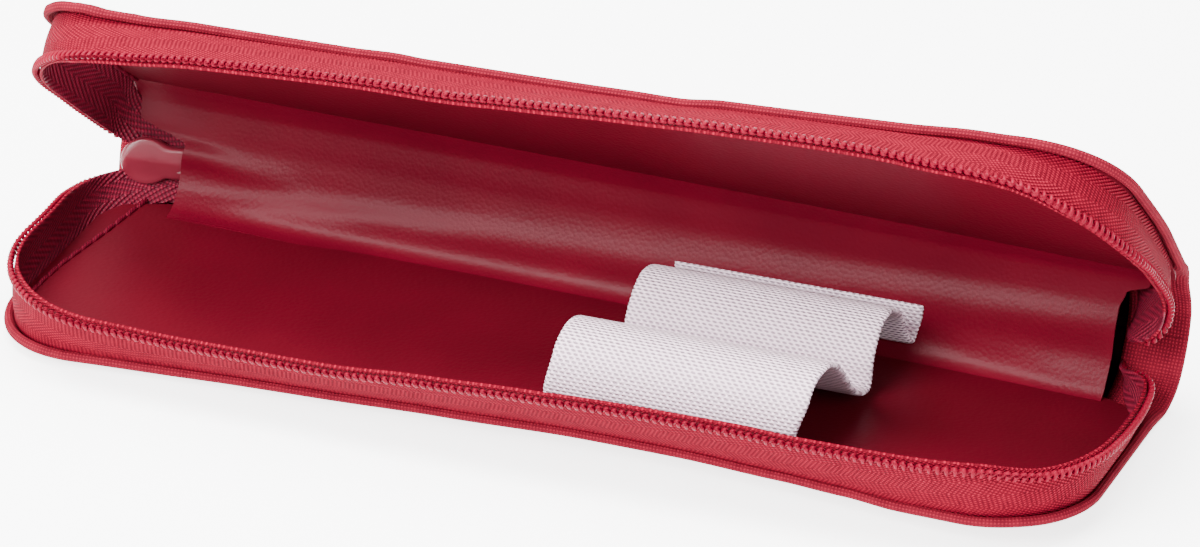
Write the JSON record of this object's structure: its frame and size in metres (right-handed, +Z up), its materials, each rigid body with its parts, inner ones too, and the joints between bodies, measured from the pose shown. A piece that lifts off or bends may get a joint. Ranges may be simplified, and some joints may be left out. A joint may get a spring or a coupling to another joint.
{
  "type": "zip-around pen case",
  "caption": "Long slim clamshell pen case in coral linen bookcloth with a zip round three sides, a smooth red lining, an elastic band inside and a soft folding back",
  "frame": {"origin": "middle of the lower panel's underside, where the case lies on the table", "axes": "+X along the case to its right end, +Y to the folding back, -Y to the mouth, +Z up"},
  "size_m": [0.175, 0.0625, 0.0521],
  "materials": {
    "cover": "coarse coral linen bookcloth, matte",
    "board": "grey stiffening board",
    "lining": "smooth deep red lining, satin",
    "tape": "woven herringbone zip tape, coral outside and crimson inside",
    "chain": "glossy translucent crimson nylon coil",
    "elastic": "white knitted elastic with beaded edges",
    "slider": "painted to match the tape",
    "pull": "dusty red moulded tab"
  },
  "bodies": {
    "lower_shell": {"lower_cover": "cover", "lower_board": "board", "lower_lining": "lining", "lower_zip_tape": "tape", "lower_zip_chain": "chain", "elastic_band": "elastic"},
    "spine": {"spine_cover": "cover", "spine_lining": "lining"},
    "lid": {"upper_cover": "cover", "upper_board": "board", "upper_lining": "lining", "upper_zip_tape": "tape", "upper_zip_chain": "chain"},
    "slider": {"slider_body": "slider", "slider_crown": "slider"},
    "pull": {"pull_tab": "pull"}
  },
  "joints": [
    {"name": "spine_fold", "type": "hinge", "parent": "lower_shell", "child": "spine", "pos_m": [0, 0.02888, 0.00171], "axis": [-1, 0, 0], "range_deg": [-20.3, 69.6]},
    {"name": "lid_fold", "type": "hinge", "parent": "spine", "child": "lid", "pos_m": [0, 0.03467, 0.01733], "axis": [-1, 0, 0], "range_deg": [-20.3, 69.6]},
    {"name": "slider_run", "type": "slide", "parent": "spine", "child": "slider", "axis": [-1, 0, 0], "range_m": [0, 0.0016]},
    {"name": "pull_swing", "type": "hinge", "parent": "slider", "child": "pull", "pos_m": [-0.074, 0.0281, 0.00886], "axis": [0, 0.3478, 0.9376], "range_deg": [0, 70]}
  ],
  "couplings": [
    {"joint": "lid_fold", "follows": "spine_fold", "ratio": 1}
  ]
}
